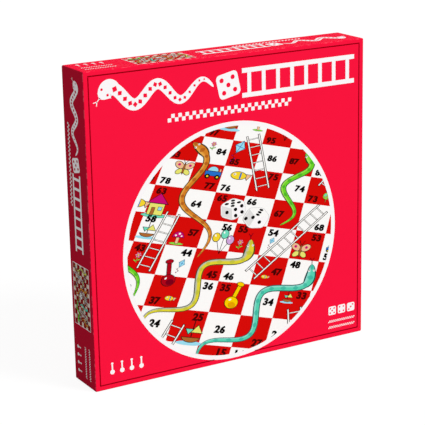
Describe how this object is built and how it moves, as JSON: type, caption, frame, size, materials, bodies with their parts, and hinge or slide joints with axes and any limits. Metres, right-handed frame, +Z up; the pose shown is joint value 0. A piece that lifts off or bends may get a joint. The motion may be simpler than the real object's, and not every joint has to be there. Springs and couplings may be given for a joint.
{
  "type": "boxed board game",
  "caption": "Square telescoping card game box, standing on edge, with a folding chequered board, card insert, rules leaflet, pawns and a die inside.",
  "frame": {"origin": "middle of the edge face that the closed box stands on, as in the picture", "axes": "X is the width, +Y points away from the cover towards the tray's bottom, +Z is up the cover, towards its title end"},
  "size_m": [0.267, 0.0387, 0.2668],
  "materials": {
    "greyboard": "raw grey chipboard",
    "stay_paper": "gummed kraft tape",
    "red_wrap": "printed red, gloss laminated",
    "white_ink": "white print, gloss laminated",
    "red_ink": "red print, gloss laminated",
    "maroon_ink": "dark maroon print, gloss laminated",
    "orange_ink": "orange print, gloss laminated",
    "green_ink": "green print, gloss laminated",
    "yellow_ink": "yellow print, gloss laminated",
    "teal_ink": "teal print, gloss laminated",
    "white_card": "white-lined chipboard, matt",
    "leaflet_paper": "uncoated white paper",
    "board_paper": "printed sheet, satin",
    "backing_paper": "embossed red backing paper",
    "hinge_cloth": "book cloth tape",
    "red_plastic": "moulded, gloss",
    "yellow_plastic": "moulded, gloss",
    "green_plastic": "moulded, gloss",
    "blue_plastic": "moulded, gloss",
    "white_plastic": "moulded, polished",
    "black_paint": "paint in the dents"
  },
  "bodies": {
    "tray": {"tray_board": "greyboard", "tray_corner_stays": "stay_paper", "tray_wrap": "red_wrap"},
    "lid": {"lid_board": "greyboard", "lid_corner_stays": "stay_paper", "lid_wrap": "red_wrap", "cover_print_white": "white_ink", "cover_print_red": "red_ink", "cover_print_line": "maroon_ink", "cover_print_ladders": "white_ink", "cover_print_orange": "orange_ink", "cover_print_green": "green_ink", "cover_print_yellow": "yellow_ink", "cover_print_teal": "teal_ink", "cover_print_dice": "white_ink", "cover_print_pawn_red": "red_ink", "cover_print_pawn_yellow": "yellow_ink", "side_print_white": "white_ink", "side_print_red": "red_ink"},
    "insert": {"insert": "white_card"},
    "board_base_leaf": {"board_core_right": "greyboard", "board_face_right": "board_paper", "board_back_right": "backing_paper", "board_tape_right": "hinge_cloth", "board_print_red_right": "red_ink", "board_print_ladders_right": "white_ink", "board_print_snakes_right": "green_ink"},
    "board_cover_leaf": {"board_core_left": "greyboard", "board_face_left": "board_paper", "board_back_left": "backing_paper", "board_tape_left": "hinge_cloth", "board_print_red_left": "red_ink", "board_print_ladders_left": "white_ink", "board_print_snakes_left": "green_ink"},
    "rules": {"rules_leaflet": "leaflet_paper"},
    "pawn_red": {"pawn_red": "red_plastic"},
    "pawn_yellow": {"pawn_yellow": "yellow_plastic"},
    "pawn_green": {"pawn_green": "green_plastic"},
    "pawn_blue": {"pawn_blue": "blue_plastic"},
    "die": {"die": "white_plastic", "die_pips": "black_paint"}
  },
  "joints": [
    {"name": "lid_slide", "type": "slide", "parent": "tray", "child": "lid", "axis": [0, -1, 0], "range_m": [0, 0.56]},
    {"name": "insert_lift", "type": "slide", "parent": "tray", "child": "insert", "axis": [0, -1, 0], "range_m": [0, 0.028]},
    {"name": "board_lift", "type": "slide", "parent": "tray", "child": "board_base_leaf", "axis": [0, -1, 0], "range_m": [0, 0.14]},
    {"name": "rules_lift", "type": "slide", "parent": "tray", "child": "rules", "axis": [0, -1, 0], "range_m": [0, 0.07]},
    {"name": "pawn_red_lift", "type": "slide", "parent": "tray", "child": "pawn_red", "axis": [0, -1, 0], "range_m": [0, 0.112]},
    {"name": "pawn_yellow_lift", "type": "slide", "parent": "tray", "child": "pawn_yellow", "axis": [0, -1, 0], "range_m": [0, 0.112]},
    {"name": "pawn_green_lift", "type": "slide", "parent": "tray", "child": "pawn_green", "axis": [0, -1, 0], "range_m": [0, 0.112]},
    {"name": "pawn_blue_lift", "type": "slide", "parent": "tray", "child": "pawn_blue", "axis": [0, -1, 0], "range_m": [0, 0.112]},
    {"name": "die_lift", "type": "slide", "parent": "tray", "child": "die", "axis": [0, -1, 0], "range_m": [0, 0.112]},
    {"name": "board_fold", "type": "hinge", "parent": "board_base_leaf", "child": "board_cover_leaf", "pos_m": [-0.128, -0.0139, 0.13195], "axis": [0, 0, -1], "range_deg": [0, 180]}
  ],
  "couplings": [
    {"joint": "insert_lift", "follows": "lid_slide", "ratio": 0.05},
    {"joint": "board_lift", "follows": "lid_slide", "ratio": 0.25},
    {"joint": "rules_lift", "follows": "lid_slide", "ratio": 0.125},
    {"joint": "pawn_red_lift", "follows": "lid_slide", "ratio": 0.2},
    {"joint": "pawn_yellow_lift", "follows": "lid_slide", "ratio": 0.2},
    {"joint": "pawn_green_lift", "follows": "lid_slide", "ratio": 0.2},
    {"joint": "pawn_blue_lift", "follows": "lid_slide", "ratio": 0.2},
    {"joint": "die_lift", "follows": "lid_slide", "ratio": 0.2},
    {"joint": "board_fold", "follows": "lid_slide", "rad_per_m": 5.609}
  ]
}
